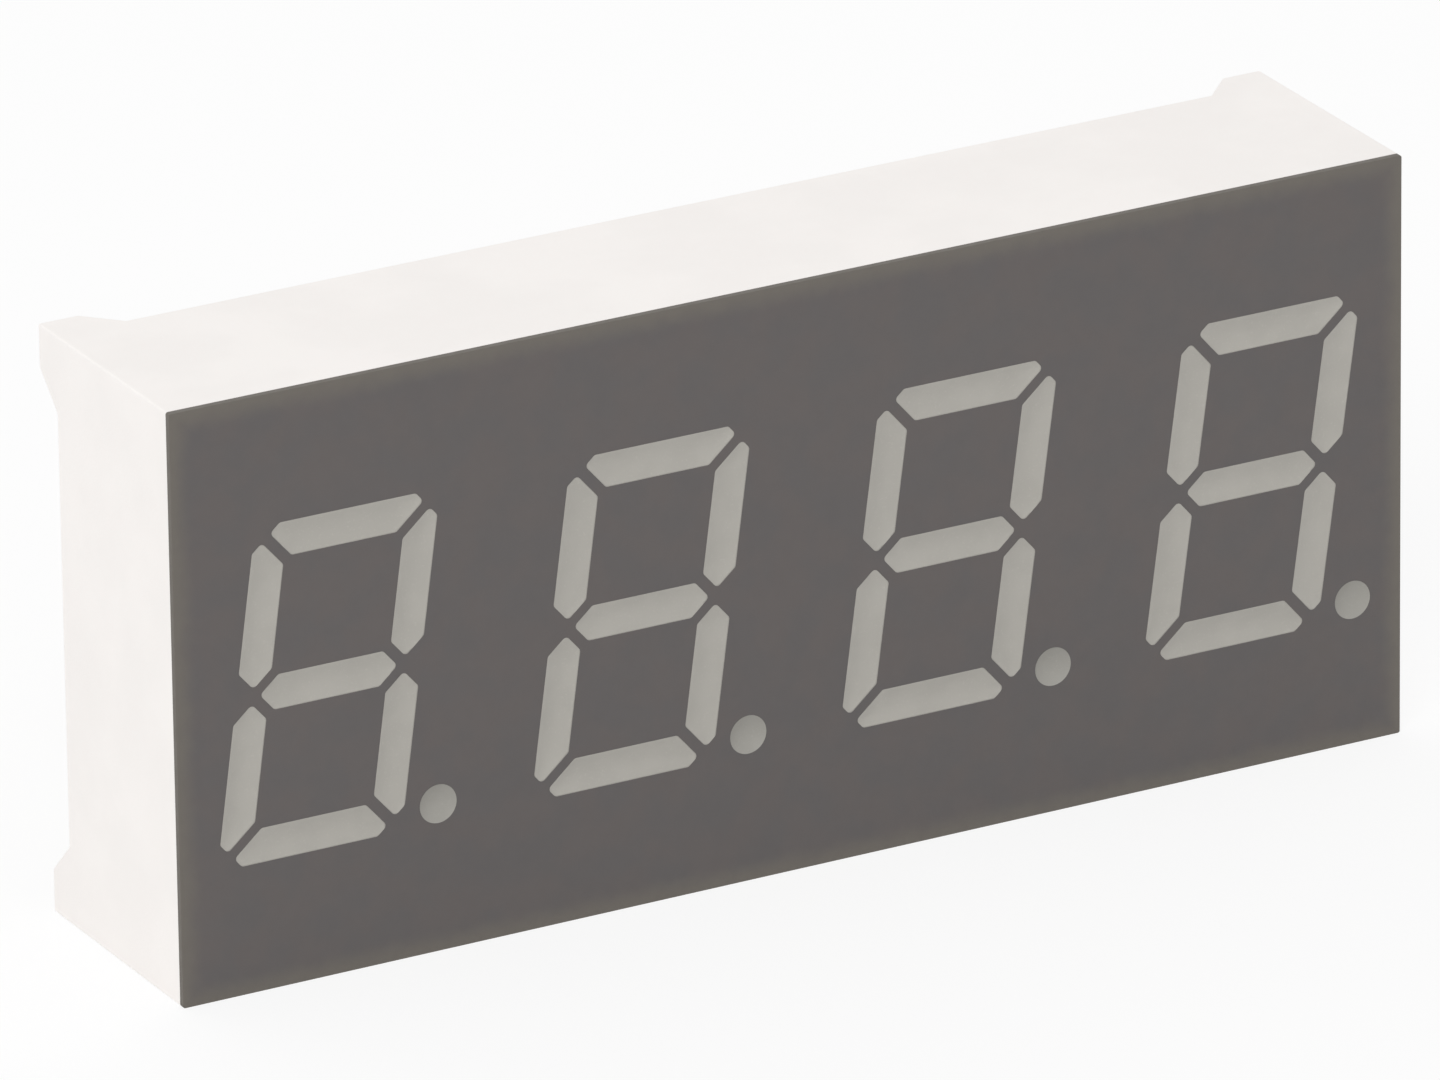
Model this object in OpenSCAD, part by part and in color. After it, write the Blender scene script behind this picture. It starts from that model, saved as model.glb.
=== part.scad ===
// Four-digit seven-segment LED display for through-hole mounting.
// X runs along the digits, Z is up and the face looks towards -Y. The origin is
// the centre of the pin pattern on the seating plane of the four corner feet.

/* [Face] */
// Width of the housing and of its face
face_w = 30.1; // [29.6:0.1:36]
// Height of the housing and of its face
face_h = 13.6; // [13:0.1:18]
// Thickness of the grey layer on the face
mask_t = 0.15; // [0.05:0.01:0.4]
// Radius of the four edges that run back from the face's corners
edge_r = 0.05; // [0.03:0.01:0.5]

/* [Digits] */
// Height of a digit's outline
digit_h = 7.67; // [6:0.01:9]
// Width of a digit's outline before it leans
digit_w = 4.43; // [3.6:0.01:4.8]
// Distance from the centre of one digit to the next
digit_pitch = 7.56; // [7.2:0.01:7.7]
// Distance of the row of digits to the left of the face's middle
digits_left = 0.07; // [0:0.01:0.15]
// Lean of the digits to the right, in degrees
lean = 8; // [0:0.5:10]
// Width of a segment
stroke = 0.79; // [0.6:0.01:1]
// Gap between neighbouring segments, square to their mitred ends
segment_gap = 0.245; // [0.1:0.005:0.4]
// Leg of the cut across the outer corners of a digit
corner_cut = 0.59; // [0.45:0.01:0.75]
// Radius of the corners of a segment in the face
corner_r = 0.1; // [0.03:0.01:0.15]

/* [Decimal points] */
// Diameter of a point in the face
point_d = 0.89; // [0.7:0.01:1.1]
// Diameter of a point's cavity at the board
point_foot_d = 0.68; // [0.64:0.01:1.1]
// Distance of a point to the right of its digit's centre
point_x = 2.56; // [2.4:0.01:2.8]
// Distance of a point below its digit's centre
point_drop = 3.39; // [3:0.01:3.8]

/* [Housing] */
// Depth of the light cavities, from the grey layer to the board
cavity_depth = 3.2; // [2:0.1:6]
// Size of a segment's cavity at the board, for each unit of its size at the face
cavity_taper = 0.65; // [0.5:0.01:1]
// Thickness of the side walls behind the cavities
wall = 0.7; // [0.5:0.05:0.9]
// Depth from the rear rim to the cast resin
rim_recess = 0.08; // [0.02:0.01:0.5]
// Height of the corner feet above the rear rim
foot_rise = 0.8; // [0.4:0.05:1.5]
// Length of a foot's flat end along the long side
foot_w = 0.95; // [0.8:0.05:2]
// Length of a foot's flat end along the short side
foot_h = 1; // [0.8:0.05:2]
// Length of the ramp from a foot down to the rim along the long side
ramp_w = 0.75; // [0.1:0.05:2]
// Length of the ramp from a foot down to the rim along the short side
ramp_h = 0.8; // [0.1:0.05:2]

/* [Board] */
// Thickness of the circuit board
board_t = 0.8; // [0.4:0.1:1.6]
// Gap between the board's edge and the housing's walls
board_gap = 0.1; // [0.05:0.01:0.2]
// Thickness of the cast resin behind the board
fill_t = 1.07; // [0.6:0.01:2]
// Width of an LED die
die_w = 0.2; // [0.15:0.01:0.24]
// Thickness of an LED die
die_t = 0.15; // [0.1:0.01:0.3]
// Diameter of a bond wire
wire_d = 0.03; // [0.02:0.005:0.05]
// Distance from a die's centre to where its bond wire meets the board
wire_span = 0.3; // [0.2:0.01:0.34]

/* [Pins] */
// Diameter of a pin behind the resin
pin_d = 0.5; // [0.4:0.01:0.6]
// Diameter of the collar at a pin's root, held in the board and the resin
collar_d = 0.85; // [0.6:0.01:0.95]
// Distance between neighbouring pins of a row
pin_pitch = 2.54; // [2:0.01:3]
// Distance between the two rows of pins
row_gap = 10.16; // [7.62:0.01:10.2]
// Length of a pin beyond the feet
pin_reach = 2.5; // [2:0.1:8]
// Length of a pin's tapered end
pin_taper = 0.25; // [0.1:0.05:1]
// Diameter of a pin at its very end
pin_end_d = 0.3; // [0.1:0.05:0.4]
// Gap between a pin's collar and its hole in the board, filled with solder
hole_gap = 0.06; // [0.03:0.01:0.1]
// Diameter of a solder joint on the board
solder_d = 1.2; // [1.05:0.05:1.3]
// Height of a solder joint on the board
solder_h = 0.45; // [0.2:0.05:0.55]

/* [Hidden] */
digits = 4;
letters = "abcdefg";
pins_per_row = 6;
corner_steps = 4;
$fn = 48;

// The layers, from the seating plane at y = 0 forwards to the face
rim_y = -foot_rise;
fill_y = rim_y - rim_recess;
board_back_y = fill_y - fill_t;
board_y = board_back_y - board_t;
mask_y = board_y - cavity_depth;
face_y = mask_y - mask_t;

// Half the outline of an upright digit, and how far a mitre moves an end back
half_w = digit_w / 2;
half_h = digit_h / 2;
mitre = segment_gap / sqrt(2);

// The recess behind the cavities, and the board that lies in it
recess_size = [face_w - 2 * wall, face_h - 2 * wall];
board_size = recess_size - 2 * [board_gap, board_gap];
hole_d = collar_d + 2 * hole_gap;

function digit_name(d, piece) = str("digit_", d, "_", piece);
function segment_name(d, s) = digit_name(d, str("segment_", s));
function pin_name(n) = str("pin_", n);

// ---- Outlines in X and Z, about a digit's centre ----

// The top bar of an upright digit
bar = [
    [half_w - corner_cut, half_h],
    [half_w - (corner_cut + mitre) / 2, half_h - (corner_cut - mitre) / 2],
    [half_w - stroke - mitre, half_h - stroke],
    [-half_w + stroke + mitre, half_h - stroke],
    [-half_w + (corner_cut + mitre) / 2, half_h - (corner_cut - mitre) / 2],
    [-half_w + corner_cut, half_h]
];

// The upper right side of an upright digit
side = [
    [half_w - (corner_cut - mitre) / 2, half_h - (corner_cut + mitre) / 2],
    [half_w, half_h - corner_cut],
    [half_w, mitre + stroke / 2],
    [half_w - stroke / 2, mitre],
    [half_w - stroke, mitre + stroke / 2],
    [half_w - stroke, half_h - stroke - mitre]
];

// The middle bar of an upright digit
middle = [
    [half_w - stroke - mitre, stroke / 2],
    [half_w - stroke / 2 - mitre, 0],
    [half_w - stroke - mitre, -stroke / 2],
    [-half_w + stroke + mitre, -stroke / 2],
    [-half_w + stroke / 2 + mitre, 0],
    [-half_w + stroke + mitre, stroke / 2]
];

function is_bar(s) = s == "a" || s == "d";
function is_middle(s) = s == "g";
function is_side(s) = !is_bar(s) && !is_middle(s);
function flip_x(s) = s == "e" || s == "f" ? -1 : 1;
function flip_z(s) = s == "c" || s == "d" || s == "e" ? -1 : 1;

// A point of the upper right quarter, moved to segment s and leaned with the digit
function placed(p, s) = [p[0] * flip_x(s) + p[1] * flip_z(s) * tan(lean), p[1] * flip_z(s)];

function outline(s) =
    [for (p = is_bar(s) ? bar : is_middle(s) ? middle : side) placed(p, s)];

function heart(s) = placed(
    is_bar(s) ? [0, half_h - stroke / 2] :
    is_middle(s) ? [0, 0] :
    [half_w - stroke / 2, half_h / 2], s);

function unit(v) = v / norm(v);

// The arc of radius r that rounds one corner of an outline
function corner_arc(before, corner, after, r) = let (
    u = unit(before - corner),
    v = unit(after - corner),
    inward = unit(u + v),
    along = unit(v - u),
    half = acos(u * inward),
    centre = corner + inward * r / sin(half)
) [for (i = [0:corner_steps]) let (turn = (90 - half) * (2 * i / corner_steps - 1))
    centre + r * (along * sin(turn) - inward * cos(turn))];

function rounded(points, r) = let (n = len(points))
    [for (i = [0:n - 1])
        each corner_arc(points[(i + n - 1) % n], points[i], points[(i + 1) % n], r)];

// ---- Places ----

function digit_x(d) = (d - (digits + 1) / 2) * digit_pitch - digits_left;

function pin_place(n) = n <= pins_per_row ?
    [(n - (pins_per_row + 1) / 2) * pin_pitch, -row_gap / 2] :
    [((3 * pins_per_row + 1) / 2 - n) * pin_pitch, row_gap / 2];

// An outline in X and Z, extruded between two depths
module slab(front, back) {
    translate([0, back, 0]) rotate([90, 0, 0]) linear_extrude(back - front) children();
}

module rectangle_slab(size, front, back) {
    slab(front, back) square(size, center = true);
}

// A slab of the housing's own outline
module body_slab(front, back) {
    slab(front, back) polygon(rounded([
        [face_w, face_h] / 2, [face_w, -face_h] / 2,
        [-face_w, -face_h] / 2, [-face_w, face_h] / 2
    ], edge_r));
}

module at_digit(d) {
    translate([digit_x(d), 0, 0]) children();
}

module at_point() {
    translate([point_x, 0, -point_drop]) children();
}

module at_pins() {
    for (n = [1:2 * pins_per_row])
        translate([pin_place(n)[0], 0, pin_place(n)[1]]) children();
}

// A round bar or cone along Y, from y = start backwards
module round_bar(start, length, front_d, back_d) {
    translate([0, start, 0]) rotate([-90, 0, 0])
        cylinder(h = length, d1 = front_d, d2 = back_d);
}

// ---- Light cavities ----

// The tapered cavity of segment s, from the board to the grey layer
module segment_cavity(s) {
    translate([heart(s)[0], board_y, heart(s)[1]]) rotate([90, 0, 0])
        linear_extrude(cavity_depth, scale = 1 / cavity_taper)
            polygon([for (p = outline(s)) (p - heart(s)) * cavity_taper]);
}

module point_cavity() {
    at_point() round_bar(mask_y, cavity_depth, point_d, point_foot_d);
}

module segment_aperture(s) {
    slab(face_y, mask_y) polygon(rounded(outline(s), corner_r));
}

module point_aperture() {
    at_point() round_bar(face_y, mask_t, point_d, point_d);
}

// ---- LED dies and their bond wires, on the board at a cavity's foot ----

module at_heart(s) {
    translate([heart(s)[0], board_y, heart(s)[1]])
        rotate([0, is_side(s) ? lean - 90 : 0, 0]) children();
}

module at_point_foot() {
    at_point() translate([0, board_y, 0]) children();
}

module die() {
    translate([-(wire_span + die_w) / 2, -die_t, -die_w / 2]) cube([die_w, die_t, die_w]);
}

module bond_wire() {
    translate([0, -die_t, 0]) rotate([180, 0, 0])
        rotate_extrude(angle = 180) translate([wire_span / 2, 0]) circle(d = wire_d);
    translate([wire_span / 2, 0, 0]) round_bar(-die_t, die_t, wire_d, wire_d);
}

// ---- Pieces ----

module housing() {
    color("white") difference() {
        body_slab(mask_y, 0);
        rectangle_slab(recess_size, board_y, foot_rise);
        foot_gap(face_w / 2 - foot_w, ramp_w, face_h);
        rotate([0, 90, 0]) foot_gap(face_h / 2 - foot_h, ramp_h, face_w);
        for (d = [1:digits]) at_digit(d) {
            for (s = letters) segment_cavity(s);
            point_cavity();
        }
    }
}

// The gap between the feet of two opposite sides, cut down to the rim
module foot_gap(half, ramp, across) {
    translate([0, 0, -across]) linear_extrude(2 * across) polygon([
        [-half + ramp, rim_y], [half - ramp, rim_y],
        [half, 0], [half, foot_rise], [-half, foot_rise], [-half, 0]
    ]);
}

module face_mask() {
    color("dimgray") difference() {
        body_slab(face_y, mask_y);
        for (d = [1:digits]) at_digit(d) {
            for (s = letters) segment_aperture(s);
            point_aperture();
        }
    }
}

module segment(d, s) {
    color("lightgray") at_digit(d) difference() {
        union() {
            segment_cavity(s);
            segment_aperture(s);
        }
        at_heart(s) {
            die();
            bond_wire();
        }
    }
}

module point(d) {
    color("darkgray") at_digit(d) difference() {
        union() {
            point_cavity();
            point_aperture();
        }
        at_point_foot() {
            die();
            bond_wire();
        }
    }
}

module dies(d) {
    color("darkslategray") at_digit(d) {
        for (s = letters) at_heart(s) die();
        at_point_foot() die();
    }
}

module bond_wires(d) {
    color("gold") at_digit(d) {
        for (s = letters) at_heart(s) bond_wire();
        at_point_foot() bond_wire();
    }
}

module circuit_board() {
    color("darkgreen") difference() {
        rectangle_slab(board_size, board_y, board_back_y);
        at_pins() round_bar(board_y, board_t, hole_d, hole_d);
    }
}

module solder_cone() {
    round_bar(board_back_y, solder_h, solder_d, hole_d);
}

// Each joint fills its hole in the board and stands as a cone behind it
module pin_solder() {
    color("silver") at_pins() difference() {
        union() {
            round_bar(board_y, board_t, hole_d, hole_d);
            solder_cone();
        }
        pin_collar();
    }
}

// The resin covers the board's back and runs round its edges to the cavities' block
module rear_fill() {
    color("ivory") difference() {
        rectangle_slab(recess_size, board_y, fill_y);
        rectangle_slab(board_size, board_y, board_back_y);
        at_pins() {
            solder_cone();
            pin_collar();
        }
    }
}

module pin_body() {
    pin_collar();
    round_bar(fill_y, pin_reach - pin_taper - fill_y, pin_d, pin_d);
    round_bar(pin_reach - pin_taper, pin_taper, pin_d, pin_end_d);
}

module pin_collar() {
    round_bar(board_y, fill_y - board_y, collar_d, collar_d);
}

module pin(n) {
    color("silver") translate([pin_place(n)[0], 0, pin_place(n)[1]]) pin_body();
}

housing();
face_mask();
circuit_board();
pin_solder();
rear_fill();
for (d = [1:digits]) {
    for (s = letters)
        segment(d, s);
    point(d);
    dies(d);
    bond_wires(d);
}
for (n = [1:2 * pins_per_row])
    pin(n);
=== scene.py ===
"""The looks of a four-digit seven-segment LED display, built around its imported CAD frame.

X runs along the digits, Z is up and the face looks towards -Y; lengths are in metres.
"""

import math

import bmesh
import bpy
from mathutils import Matrix, Vector, noise
from mathutils.geometry import delaunay_2d_cdt


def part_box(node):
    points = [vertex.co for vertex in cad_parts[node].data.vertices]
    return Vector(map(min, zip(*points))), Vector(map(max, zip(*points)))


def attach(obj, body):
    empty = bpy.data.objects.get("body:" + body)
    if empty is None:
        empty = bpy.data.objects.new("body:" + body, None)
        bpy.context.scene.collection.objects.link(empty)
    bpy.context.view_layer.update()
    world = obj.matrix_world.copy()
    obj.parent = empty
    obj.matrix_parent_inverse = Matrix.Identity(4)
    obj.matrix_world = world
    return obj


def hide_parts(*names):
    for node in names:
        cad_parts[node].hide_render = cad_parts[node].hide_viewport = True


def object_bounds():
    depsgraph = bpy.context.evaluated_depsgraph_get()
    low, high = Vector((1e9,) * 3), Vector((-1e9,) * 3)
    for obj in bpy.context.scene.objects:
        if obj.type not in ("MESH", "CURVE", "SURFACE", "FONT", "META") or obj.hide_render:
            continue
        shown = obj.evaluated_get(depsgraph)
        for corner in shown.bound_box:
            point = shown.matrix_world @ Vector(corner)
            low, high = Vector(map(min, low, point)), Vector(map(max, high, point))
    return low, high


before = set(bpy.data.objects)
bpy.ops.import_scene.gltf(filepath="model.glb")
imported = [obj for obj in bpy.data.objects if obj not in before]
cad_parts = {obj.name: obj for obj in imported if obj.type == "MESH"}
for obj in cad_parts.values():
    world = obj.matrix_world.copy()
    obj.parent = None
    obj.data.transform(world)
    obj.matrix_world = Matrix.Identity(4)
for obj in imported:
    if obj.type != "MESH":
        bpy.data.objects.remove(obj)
cad_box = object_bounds()

MM = 0.001
TOUCH = 0.002 * MM  # places closer than this are the same

DIGITS = (1, 2, 3, 4)
SEGMENTS = "abcdefg"
PINS = [f"pin_{n}" for n in range(1, 13)]

# The camera, seen from the middle of the face
VIEW_AZIMUTH = math.radians(28.52)
VIEW_ELEVATION = math.radians(22.096)
VIEW_ROLL = math.radians(0.708)
VIEW_DISTANCE = 379.8 * MM
VIEW_AIM = Vector((-1.925, 0, 1.264)) * MM
VIEW_CLIP = VIEW_DISTANCE / 20
SENSOR_WIDTH = 36.0
LENS = 443.2

# Rounded edges
HOUSING_EDGE = 0.07 * MM
MASK_EDGE = 0.01 * MM
EDGE_STEPS = 3
SHARP = math.radians(28)  # an edge that turns more than this is rounded or shows sharp
FLAT = math.radians(0.5)  # an edge that turns less than this isn't kept

# The segments' and points' resin: how steeply it sinks at the walls, and where it has points
SEGMENT_SLOPE, POINT_SLOPE = 0.4, 0.7
DISH_STEP = 0.08 * MM
DISH_RING = 0.03 * MM  # from the walls
DISH_CLEAR = DISH_RING + DISH_STEP / 3

# The resin behind the board: how it rises at the walls and pins, and how it sags
WALL_RISE, WALL_REACH = 0.05 * MM, 0.18 * MM
PIN_RISE, PIN_REACH = 0.16 * MM, 0.13 * MM
REAR_SAG, REAR_WAVE = 0.012 * MM, 4 * MM

# Where it has points: around each pin, along the walls, and evenly in between
PIN_RINGS = [gap * MM for gap in (0.03, 0.07, 0.12, 0.18, 0.26, 0.36, 0.5)]
WALL_LINES = [gap * MM for gap in (0.04, 0.09, 0.16, 0.26, 0.4, 0.6)]
REAR_STEP = 0.3 * MM

# Resin colours
SEGMENT_GREY = (0.381, 0.366, 0.334)
POINT_GREY = (0.314, 0.304, 0.278)

# Light
AMBIENT = 0.69
FLOOR_RADIUS, FLOOR_SIDES = 1.5, 96
FLOOR_COLOUR = (0.95, 0.95, 0.95)
FLOOR_GLOW = 0.8
LAMPS = {  # place from the object's middle, size and power
    "key": ((-0.3, -0.33, 0.38), 0.3, 1.2),
    "fill": ((0.35, -0.3, 0.25), 0.4, 0.15),
    "back": ((-0.1, 0.45, 0.3), 0.4, 0.3),
}

# What noise mostly keeps to, and a narrower span that gives plainer patches
NOISE_SPAN = (0.3, 0.7)
PATCH_SPAN = (0.35, 0.65)


# ---- Materials ----


class Nodes:
    """The nodes of a material or world, with short calls that add and join them."""

    def __init__(self, owner):
        owner.use_nodes = True
        self.tree = owner.node_tree

    def add(self, kind, **settings):
        made = self.tree.nodes.new(kind)
        for key, value in settings.items():
            setattr(made, key, value)
        return made

    def feed(self, socket, value):
        """Gives a socket a plain value, or joins another node's output to it."""
        if isinstance(value, bpy.types.NodeSocket):
            self.tree.links.new(value, socket)
        else:
            socket.default_value = value

    def math(self, operation, *values):
        made = self.add("ShaderNodeMath", operation=operation)
        for socket, value in zip(made.inputs, values):
            self.feed(socket, value)
        return made.outputs["Value"]

    def spread(self, value, low, high, to_low=0.0, to_high=1.0):
        """A value from low to high, spread smoothly over another range."""
        made = self.add("ShaderNodeMapRange", interpolation_type="SMOOTHSTEP")
        for name, given in zip(
            ("Value", "From Min", "From Max", "To Min", "To Max"),
            (value, low, high, to_low, to_high),
        ):
            self.feed(made.inputs[name], given)
        return made.outputs["Result"]

    def blend(self, share, first, second):
        """A shader between two shaders."""
        made = self.add("ShaderNodeMixShader")
        for socket, value in zip(made.inputs, (share, first, second)):
            self.feed(socket, value)
        return made.outputs["Shader"]

    def seen_by_eye(self):
        """1 for rays that show the surroundings, straight or reflected, and 0 for light."""
        paths = self.add("ShaderNodeLightPath").outputs
        seen = self.math("MAXIMUM", paths["Is Camera Ray"], paths["Is Glossy Ray"])
        return self.math("MAXIMUM", seen, paths["Is Transmission Ray"])


class Paint(Nodes):
    """A material around one Principled shader."""

    def __init__(self, name, **sockets):
        self.material = bpy.data.materials.new(name)
        super().__init__(self.material)
        self.shader = self.tree.nodes["Principled BSDF"]
        for socket, value in sockets.items():
            self.shader.inputs[socket.replace("_", " ")].default_value = value
        self.place = self.add("ShaderNodeTexCoord").outputs["Object"]

    def noise(self, size, detail=3.0, stretch=(1, 1, 1)):
        """Noise about 0.5, in cells of about that size, stretched along the axes."""
        scaled = self.add("ShaderNodeVectorMath", operation="MULTIPLY")
        self.feed(scaled.inputs[0], self.place)
        scaled.inputs[1].default_value = [1 / (size * s) for s in stretch]
        made = self.add("ShaderNodeTexNoise")
        made.inputs["Scale"].default_value = 1
        made.inputs["Detail"].default_value = detail
        self.feed(made.inputs["Vector"], scaled.outputs["Vector"])
        return made.outputs["Fac"]

    def mix(self, share, first, second):
        """A colour between two colours."""
        made = self.add("ShaderNodeMix", data_type="RGBA")
        colours = [s for s in made.inputs if s.type == "RGBA"]
        self.feed(made.inputs["Factor"], share)
        self.feed(colours[0], first)
        self.feed(colours[1], second)
        return [s for s in made.outputs if s.type == "RGBA"][0]

    def colour(self, value):
        self.feed(self.shader.inputs["Base Color"], value)

    def roughness(self, smooth, rough, value, span=NOISE_SPAN):
        """A roughness between two, as a value goes through its span."""
        self.feed(self.shader.inputs["Roughness"], self.spread(value, *span, smooth, rough))

    def bump(self, height, depth):
        """A relief of that depth over the whole surface."""
        made = self.add("ShaderNodeBump")
        made.inputs["Distance"].default_value = depth
        self.feed(made.inputs["Height"], height)
        self.feed(self.shader.inputs["Normal"], made.outputs["Normal"])


def shade(colour, factor=1):
    """A colour with its alpha, made lighter or darker by a factor."""
    return (*(c * factor for c in colour), 1)


def housing_plastic():
    """White moulded plastic with a fine spark-eroded grain and faint flow clouds."""
    white = (0.92, 0.887, 0.862)
    paint = Paint("housing_plastic", IOR=1.5, Specular_IOR_Level=0.35)
    clouds = paint.spread(paint.noise(2.5 * MM), *PATCH_SPAN)
    paint.colour(paint.mix(clouds, shade(white, 0.985), shade(white, 1.01)))
    paint.roughness(0.5, 0.62, paint.noise(0.4 * MM))
    grain = paint.noise(0.07 * MM, detail=2)
    paint.bump(grain, 0.004 * MM)
    return paint.material


def face_ink(face_high):
    """Matt grey print, mottled, and thinner and browner towards the edges of the face.

    The face lies evenly about the origin, up to its high corner.
    """
    grey, cool = (0.116, 0.104, 0.101), (0.11, 0.102, 0.101)
    thin = (0.142, 0.129, 0.113)
    border = 0.55 * MM
    paint = Paint("face_ink", IOR=1.45, Specular_IOR_Level=0.3)
    mottle = paint.spread(paint.noise(0.9 * MM, detail=2), *PATCH_SPAN)
    body = paint.mix(mottle, shade(cool), shade(grey))
    split = paint.add("ShaderNodeSeparateXYZ")
    paint.feed(split.inputs["Vector"], paint.place)
    insets = [
        paint.math("SUBTRACT", high, paint.math("ABSOLUTE", split.outputs[axis]))
        for axis, high in (("X", face_high.x), ("Z", face_high.z))
    ]
    inset = paint.math("MINIMUM", *insets)
    ragged = paint.math("MULTIPLY_ADD", paint.noise(0.6 * MM), border / 2, inset)
    edge = paint.spread(ragged, border / 4, 1.25 * border, 1.0, 0.0)
    paint.colour(paint.mix(edge, body, shade(thin)))
    paint.roughness(0.5, 0.62, paint.noise(0.3 * MM))
    grain = paint.noise(0.06 * MM, detail=2)
    paint.bump(grain, 0.003 * MM)
    return paint.material


def cavity_resin(name, grey):
    """Diffusing resin, cloudy and finely speckled with filler."""
    paint = Paint(name, IOR=1.5, Specular_IOR_Level=0.35)
    clouds = paint.spread(paint.noise(0.7 * MM), *PATCH_SPAN)
    cloudy = paint.mix(clouds, shade(grey, 0.98), shade(grey, 1.02))
    filler = paint.noise(0.05 * MM, detail=1)
    speckle = paint.spread(filler, 0.6, 0.75, to_high=0.5)
    paint.colour(paint.mix(speckle, cloudy, shade(grey, 1.12)))
    paint.roughness(0.34, 0.46, paint.noise(0.5 * MM))
    ripple = paint.noise(0.25 * MM)
    paint.bump(ripple, 0.001 * MM)
    return paint.material


def rear_resin():
    """Milky cast resin with a smooth skin, slightly yellow where it is deep."""
    deep, shallow = (0.69, 0.665, 0.585), (0.72, 0.7, 0.625)
    paint = Paint("rear_resin", IOR=1.52)
    depth = paint.spread(paint.noise(1.6 * MM), *NOISE_SPAN)
    paint.colour(paint.mix(depth, shade(deep), shade(shallow)))
    paint.roughness(0.14, 0.26, paint.noise(1.2 * MM))
    ripple = paint.noise(1.6 * MM, detail=1)
    paint.bump(ripple, 0.01 * MM)
    return paint.material


def pin_metal():
    """Tinned wire: bright, with drawing lines along it and a slightly mottled coat."""
    dull, bright = (0.64, 0.635, 0.62), (0.7, 0.7, 0.69)
    paint = Paint("pin_metal", Metallic=1.0)
    lines = paint.noise(0.05 * MM, detail=2, stretch=(1, 30, 1))
    coat = paint.spread(paint.noise(0.5 * MM), *PATCH_SPAN)
    paint.colour(paint.mix(coat, shade(dull), shade(bright)))
    paint.roughness(0.2, 0.3, lines)
    paint.bump(lines, 0.0006 * MM)
    return paint.material


def solder():
    """Solder with a slightly frosted, crystalline skin."""
    dull, bright = (0.44, 0.44, 0.45), (0.58, 0.58, 0.58)
    paint = Paint("solder", Metallic=1.0)
    frost = paint.noise(0.12 * MM)
    paint.colour(paint.mix(frost, shade(dull), shade(bright)))
    paint.roughness(0.2, 0.5, frost)
    paint.bump(frost, 0.004 * MM)
    return paint.material


def board():
    """Green solder mask over woven glass fibre."""
    dark, pale = (0.02, 0.09, 0.035), (0.04, 0.14, 0.06)
    paint = Paint("board", IOR=1.5)
    weft = paint.noise(0.3 * MM, detail=1, stretch=(4, 1, 1))
    warp = paint.noise(0.3 * MM, detail=1, stretch=(1, 1, 4))
    weave = paint.math("ADD", weft, warp)
    paint.colour(paint.mix(weave, shade(dark), shade(pale)))
    paint.roughness(0.3, 0.45, weave, span=[2 * end for end in NOISE_SPAN])
    paint.bump(weave, 0.006 * MM)
    return paint.material


def die():
    """Sawn semiconductor with a grainy edge."""
    dark, pale = (0.05, 0.045, 0.04), (0.08, 0.07, 0.06)
    paint = Paint("die", IOR=2.2)
    saw = paint.noise(0.02 * MM, stretch=(1, 4, 1))
    paint.colour(paint.mix(saw, shade(dark), shade(pale)))
    paint.roughness(0.25, 0.5, saw)
    return paint.material


def gold_wire():
    """Drawn gold wire."""
    deep, pale = (0.78, 0.5, 0.14), (0.86, 0.58, 0.2)
    paint = Paint("gold_wire", Metallic=1.0)
    lines = paint.noise(0.01 * MM, detail=2)
    paint.colour(paint.mix(lines, shade(deep), shade(pale)))
    paint.roughness(0.15, 0.3, lines)
    return paint.material


# ---- Work on meshes ----


def welded(node):
    """A CAD node's mesh, with shared corners joined and its flat faces whole."""
    mesh = bmesh.new()
    mesh.from_mesh(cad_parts[node].data)
    bmesh.ops.remove_doubles(mesh, verts=mesh.verts, dist=TOUCH / 10)
    bmesh.ops.dissolve_limit(mesh, angle_limit=FLAT, verts=mesh.verts, edges=mesh.edges)
    return mesh


def is_corner(edge):
    """Whether an edge turns sharply enough to be rounded."""
    return len(edge.link_faces) == 2 and edge.calc_face_angle() > SHARP


def round_edges(mesh, edges, width):
    """Rounds these edges over that width."""
    bmesh.ops.bevel(
        mesh,
        geom=edges,
        offset=width,
        offset_type="OFFSET",
        segments=EDGE_STEPS,
        profile=0.5,
        affect="EDGES",
        clamp_overlap=True,
    )


def lies_at(part, level):
    """Whether a face or an edge lies flat at that depth."""
    return all(abs(vert.co.y - level) < TOUCH for vert in part.verts)


def split_long(mesh, level, longest):
    """Splits the edges at that depth until none is longer."""
    for edge in [e for e in mesh.edges if lies_at(e, level)]:
        cuts = int(edge.calc_length() / longest)
        if cuts:
            bmesh.ops.subdivide_edges(mesh, edges=[edge], cuts=cuts)


def loops_of(edges):
    """The closed loops of vertices that these edges form, in the edges' own order."""
    left, loops = dict.fromkeys(edges), []
    while left:
        edge = next(iter(left))
        del left[edge]
        loop, vert = [edge.verts[0]], edge.verts[1]
        while vert is not loop[0]:
            loop.append(vert)
            edge = next(e for e in vert.link_edges if e in left)
            del left[edge]
            vert = edge.other_vert(vert)
        loops.append(loop)
    return loops


def opened(mesh, level):
    """Takes away a mesh's flat side at that depth, and gives the loops around the gap."""
    side = [f for f in mesh.faces if lies_at(f, level)]
    bmesh.ops.delete(mesh, geom=side, context="FACES_ONLY")
    loose = [e for e in mesh.edges if not e.link_faces]
    bmesh.ops.delete(mesh, geom=loose, context="EDGES")
    return loops_of([e for e in mesh.edges if len(e.link_faces) == 1])


def bridge(mesh, ring, following):
    """The band of faces between two rings with as many vertices."""
    for i in range(len(ring)):
        j = (i + 1) % len(ring)
        mesh.faces.new((ring[i], ring[j], following[j], following[i]))


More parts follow.
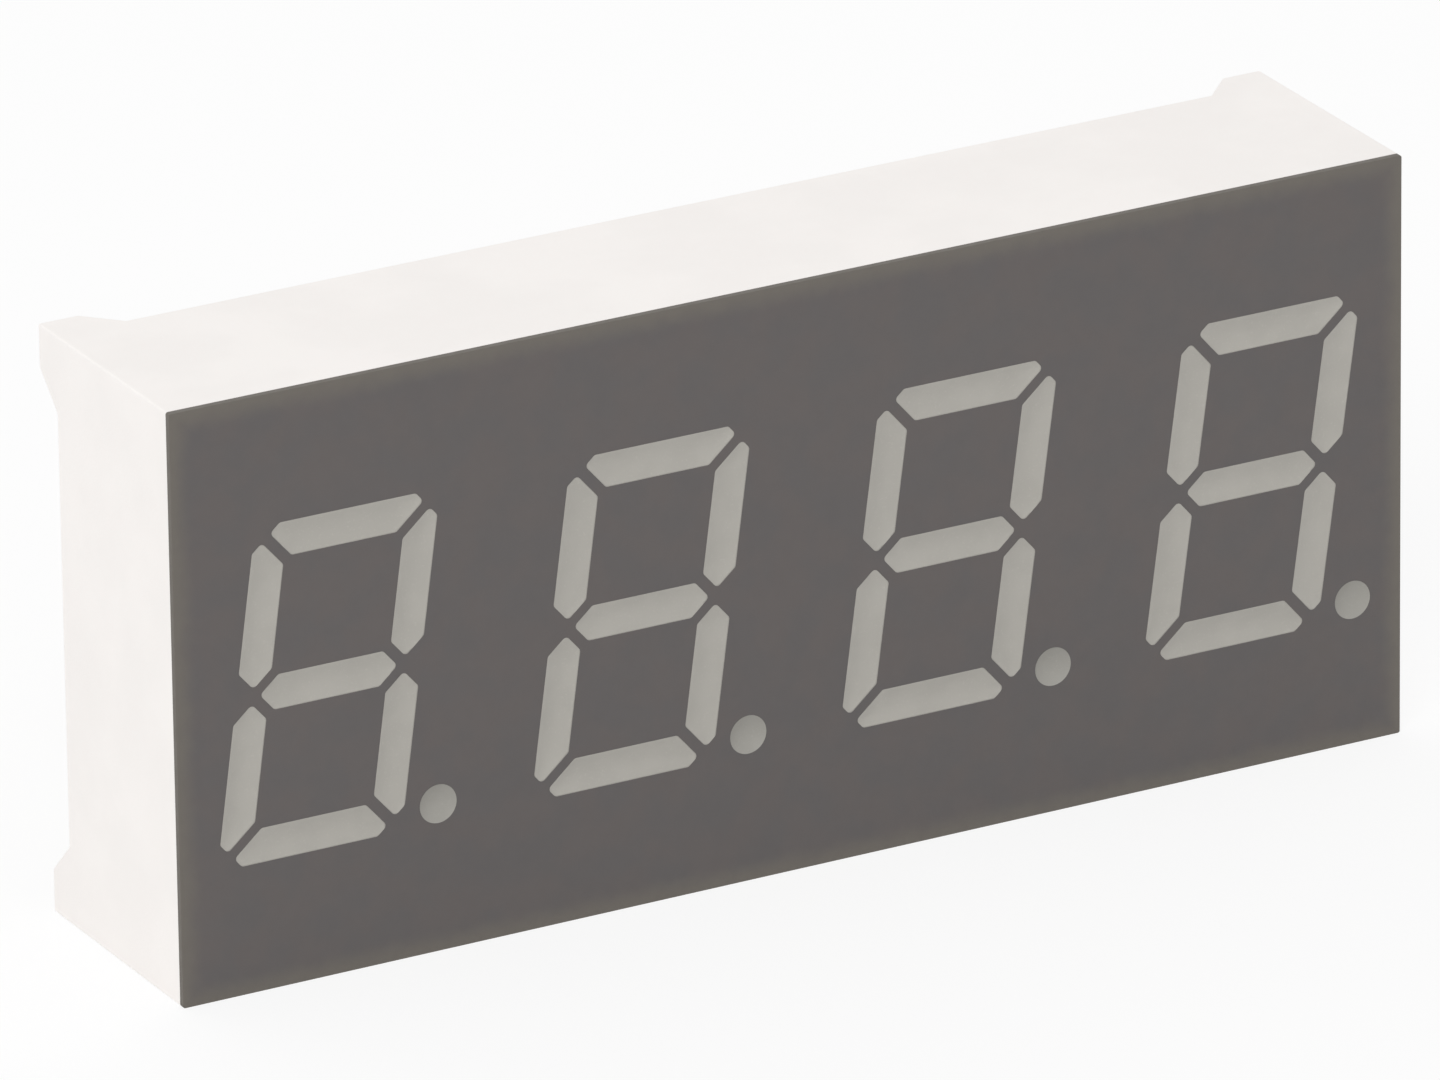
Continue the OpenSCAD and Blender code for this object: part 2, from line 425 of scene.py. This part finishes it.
def drape(mesh, loops, inner, height, covers=lambda place: True):
    """A fine skin between loops of vertices, wherever it covers, raised by a height."""
    level = loops[0][0].co.y
    rims = [vert for loop in loops for vert in loop]
    points = [flat_place(vert) for vert in rims] + inner
    bounds, first = [], 0
    for loop in loops:
        bounds.append(list(range(first, first + len(loop))))
        first += len(loop)
    places, _, triangles, sources, _, _ = delaunay_2d_cdt(points, [], bounds, 1, TOUCH / 100)
    skin = []
    for place, given in zip(places, sources):
        held = [rims[i] for i in given if i < len(rims)]
        skin.append(held[0] if held else mesh.verts.new((place.x, level, place.y)))
    for triangle in triangles:
        if covers(sum((places[i] for i in triangle), Vector((0, 0))) / len(triangle)):
            mesh.faces.new([skin[i] for i in triangle])
    for vert in skin:
        vert.co.y += height(flat_place(vert))
    bmesh.ops.recalc_face_normals(mesh, faces=mesh.faces)


def piece(mesh, name, node, material):
    """The object made from a finished mesh, which stands for a CAD node."""
    mesh.normal_update()
    data = bpy.data.meshes.new(name)
    mesh.to_mesh(data)
    mesh.free()
    data.shade_smooth()
    data.set_sharp_from_angle(angle=SHARP)
    data.materials.append(material)
    made = bpy.data.objects.new(name, data)
    bpy.context.scene.collection.objects.link(made)
    weighted = made.modifiers.new("weighted_normals", "WEIGHTED_NORMAL")
    weighted.keep_sharp = True
    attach(made, "root")
    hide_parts(node)
    return made


def dress(node, material):
    """A CAD node that keeps its own shape, with its finished material."""
    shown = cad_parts[node]
    shown.data.materials.clear()
    shown.data.materials.append(material)


# ---- Places in the X and Z plane ----


def flat_place(vert):
    """A vertex's place."""
    return Vector((vert.co.x, vert.co.z))


def rows(low, high, spacing):
    """Evenly spaced numbers between two ends, the ends left out."""
    count = round((high - low) / spacing)
    return [low + (high - low) * i / count for i in range(1, count)]


def grid_places(low, high, margin, spacing):
    """An even grid between two corners, inside a margin."""
    across = rows(low.x + margin, high.x - margin, spacing)
    upwards = rows(low.z + margin, high.z - margin, spacing)
    return [Vector((x, z)) for x in across for z in upwards]


def sides(outline):
    """The two ends of each side of a closed outline."""
    return zip(outline, outline[1:] + outline[:1])


def inwards(place, outline):
    """How far inside a convex, left-turning outline a place is, evened out across it."""
    pull = 0
    for start, end in sides(outline):
        gap = (end - start).cross(place - start) / (end - start).length
        if gap < TOUCH:
            return 0
        pull += (start - place).angle(end - place) / gap
    return math.pi / pull


def shrunk(outline, gap):
    """A left-turning outline's points, each moved inwards."""
    before, after = outline[-1:] + outline[:-1], outline[1:] + outline[:1]
    along = [(end - start).normalized() for start, end in zip(before, after)]
    return [place + gap * Vector((-a.y, a.x)) for place, a in zip(outline, along)]


# ---- Pieces ----


def housing_shell(material):
    """The housing with the small radii of a moulding on its rim and feet."""
    mesh = welded("housing")
    inside_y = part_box("circuit_board")[1].y
    edges = [
        e for e in mesh.edges
        if is_corner(e) and min(v.co.y for v in e.verts) > inside_y
    ]
    round_edges(mesh, edges, HOUSING_EDGE)
    return piece(mesh, "housing_shell", "housing", material)


def face_print(material):
    """The grey layer, with its outer edge and the edges of its apertures softened."""
    mesh = welded("face_mask")
    front_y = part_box("face_mask")[0].y
    edges = [e for e in mesh.edges if is_corner(e) and lies_at(e, front_y)]
    round_edges(mesh, edges, MASK_EDGE)
    return piece(mesh, "face_print", "face_mask", material)


def dished_resin(node, material, slope):
    """The resin of one segment or point, sunk a little between its aperture's sides."""
    mesh = welded(node)
    low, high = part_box(node)
    split_long(mesh, low.y, DISH_STEP)
    [loop] = opened(mesh, low.y)
    outline = [flat_place(vert) for vert in loop]
    if sum(start.cross(end) for start, end in sides(outline)) < 0:
        outline.reverse()
    grid = grid_places(low, high, 0, DISH_STEP)
    inner = [place for place in grid if inwards(place, outline) > DISH_CLEAR]
    inner += shrunk(outline, DISH_RING)
    drape(mesh, [loop], inner, lambda place: slope * inwards(place, outline))
    return piece(mesh, f"{node}_resin", node, material)


def pin_axis(pin):
    """Where a pin's centre line crosses the X and Z plane."""
    low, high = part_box(pin)
    centre = (low + high) / 2
    return Vector((centre.x, centre.z))


def wire_radius(pin, beyond_y):
    """A pin's radius behind the resin, where it is widest."""
    axis = pin_axis(pin)
    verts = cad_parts[pin].data.vertices
    return max((flat_place(v) - axis).length for v in verts if v.co.y > beyond_y)


def closed_collar(mesh, hole, level, circle):
    """Closes the resin in over a pin's collar, and gives its lip around the wire."""
    foot = [mesh.verts.new((place.x, level, place.y)) for place in circle]
    lip = [mesh.verts.new((place.x, level, place.y)) for place in circle]
    bridge(mesh, hole, foot)
    bridge(mesh, foot, lip)
    return lip


def wall_places(low, high):
    """Places in lines along the four walls, closer together towards them."""
    places = []
    for gap in WALL_LINES:
        ends_x, ends_z = (low.x + gap, high.x - gap), (low.z + gap, high.z - gap)
        along_x, along_z = rows(*ends_x, REAR_STEP), rows(*ends_z, REAR_STEP)
        places += [Vector((x, z)) for x in (*ends_x, *along_x) for z in ends_z]
        places += [Vector((x, z)) for x in ends_x for z in along_z]
    return places


def rear_resin_cast(material):
    """The resin behind the board, drawn up a little at the walls and at each pin."""
    mesh = welded("rear_fill")
    low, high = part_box("rear_fill")
    axes = [pin_axis(pin) for pin in PINS]
    radius = wire_radius(PINS[0], high.y + PIN_RISE)

    def to_pin(place):
        return min((place - axis).length for axis in axes) - radius

    def height(place):
        wall = min(place.x - low.x, high.x - place.x, place.y - low.z, high.z - place.y)
        at_wall = math.exp(-max(wall, 0) / WALL_REACH)
        at_pin = math.exp(-max(to_pin(place), 0) / PIN_REACH)
        sag = noise.noise(Vector((place.x, place.y, 0)) / REAR_WAVE)
        return WALL_RISE * at_wall + PIN_RISE * at_pin + REAR_SAG * sag * (1 - at_wall)

    def width(loop):
        return max(vert.co.x for vert in loop) - min(vert.co.x for vert in loop)

    loops = opened(mesh, high.y)
    outer = max(loops, key=width)
    rims, inner = [outer], []
    for hole in (loop for loop in loops if loop is not outer):
        centre = min(axes, key=lambda axis: (axis - flat_place(hole[0])).length)
        spokes = [(flat_place(vert) - centre).normalized() for vert in hole]
        circle = [centre + spoke * radius for spoke in spokes]
        rims.append(closed_collar(mesh, hole, high.y, circle))
        for gap in PIN_RINGS:
            inner += [centre + spoke * (radius + gap) for spoke in spokes]
    inner += wall_places(low, high)
    grid = grid_places(low, high, WALL_LINES[-1] + REAR_STEP, REAR_STEP)
    inner += [place for place in grid if to_pin(place) > PIN_RINGS[-1] + REAR_STEP / 2]
    drape(mesh, rims, inner, height, covers=lambda place: to_pin(place) > -TOUCH)
    return piece(mesh, "rear_resin_cast", "rear_fill", material)


# ---- Surroundings ----


def light_world():
    """An even pale surround, which shows as plain white."""
    world = bpy.data.worlds.new("surround")
    bpy.context.scene.world = world
    nodes = Nodes(world)
    background = nodes.tree.nodes["Background"]
    background.inputs["Color"].default_value = (1, 1, 1, 1)
    strength = nodes.spread(nodes.seen_by_eye(), 0, 1, AMBIENT, 1)
    nodes.feed(background.inputs["Strength"], strength)


def floor_material():
    """Pale floor that takes the object's shadow, and can be looked through from below."""
    material = bpy.data.materials.new("floor")
    nodes = Nodes(material)
    nodes.tree.nodes.clear()
    diffuse = nodes.add("ShaderNodeBsdfDiffuse")
    diffuse.inputs["Color"].default_value = shade(FLOOR_COLOUR)
    glow = nodes.add("ShaderNodeEmission")
    glow.inputs["Strength"].default_value = 1
    share = nodes.math("MULTIPLY", nodes.seen_by_eye(), FLOOR_GLOW)
    lit = nodes.blend(share, diffuse.outputs["BSDF"], glow.outputs["Emission"])
    clear = nodes.add("ShaderNodeBsdfTransparent").outputs["BSDF"]
    below = nodes.add("ShaderNodeNewGeometry").outputs["Backfacing"]
    output = nodes.add("ShaderNodeOutputMaterial")
    nodes.feed(output.inputs["Surface"], nodes.blend(below, lit, clear))
    return material


def lay_floor(level):
    """A round floor, far wider than the view."""
    mesh = bmesh.new()
    bmesh.ops.create_circle(mesh, cap_ends=True, radius=FLOOR_RADIUS, segments=FLOOR_SIDES)
    data = bpy.data.meshes.new("floor")
    mesh.to_mesh(data)
    mesh.free()
    data.materials.append(floor_material())
    floor = bpy.data.objects.new("floor", data)
    floor.location.z = level
    bpy.context.scene.collection.objects.link(floor)


def hang_lamp(name, aim, place, size, power):
    """A square softbox at a place, turned towards its aim."""
    lamp = bpy.data.lights.new(name, "AREA")
    lamp.size = size
    lamp.energy = power
    made = bpy.data.objects.new(name, lamp)
    made.location = place
    made.rotation_mode = "QUATERNION"
    made.rotation_quaternion = (aim - place).to_track_quat("-Z", "Y")
    bpy.context.scene.collection.objects.link(made)


def place_camera(face_middle):
    """The camera at the photograph's viewing angle, rolled a little about its own axis."""
    azimuth, elevation = VIEW_AZIMUTH, VIEW_ELEVATION
    forward = Vector((
        math.sin(azimuth) * math.cos(elevation),
        math.cos(azimuth) * math.cos(elevation),
        -math.sin(elevation),
    ))
    level = Vector((math.cos(azimuth), -math.sin(azimuth), 0))
    down = forward.cross(level)
    right = math.cos(VIEW_ROLL) * level + math.sin(VIEW_ROLL) * down
    up = right.cross(forward)
    data = bpy.data.cameras.new("camera")
    data.sensor_width = SENSOR_WIDTH
    data.lens = LENS
    data.clip_start = VIEW_CLIP
    camera = bpy.data.objects.new("camera", data)
    turn = Matrix((right, up, -forward)).transposed()
    place = face_middle + VIEW_AIM - VIEW_DISTANCE * forward
    camera.matrix_world = Matrix.Translation(place) @ turn.to_4x4()
    bpy.context.scene.collection.objects.link(camera)
    bpy.context.scene.camera = camera


# ---- The scene ----

face_low, face_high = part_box("face_mask")
face_middle = (face_low + face_high) / 2
face_middle.y = face_low.y
place_camera(face_middle)

housing_shell(housing_plastic())
face_print(face_ink(face_high))
segment_resin = cavity_resin("segment_resin", SEGMENT_GREY)
point_resin = cavity_resin("point_resin", POINT_GREY)
gold, chip, tin = gold_wire(), die(), pin_metal()
for digit in DIGITS:
    for letter in SEGMENTS:
        name = f"digit_{digit}_segment_{letter}"
        dished_resin(name, segment_resin, SEGMENT_SLOPE)
    dished_resin(f"digit_{digit}_point", point_resin, POINT_SLOPE)
    dress(f"digit_{digit}_dies", chip)
    dress(f"digit_{digit}_bond_wires", gold)
rear_resin_cast(rear_resin())
for pin in PINS:
    dress(pin, tin)
dress("pin_solder", solder())
dress("circuit_board", board())

light_world()
lay_floor(cad_box[0].z)
middle = (cad_box[0] + cad_box[1]) / 2
for name, (offset, size, power) in LAMPS.items():
    hang_lamp(name, middle, middle + Vector(offset), size, power)

bpy.context.scene.view_settings.view_transform = "Standard"
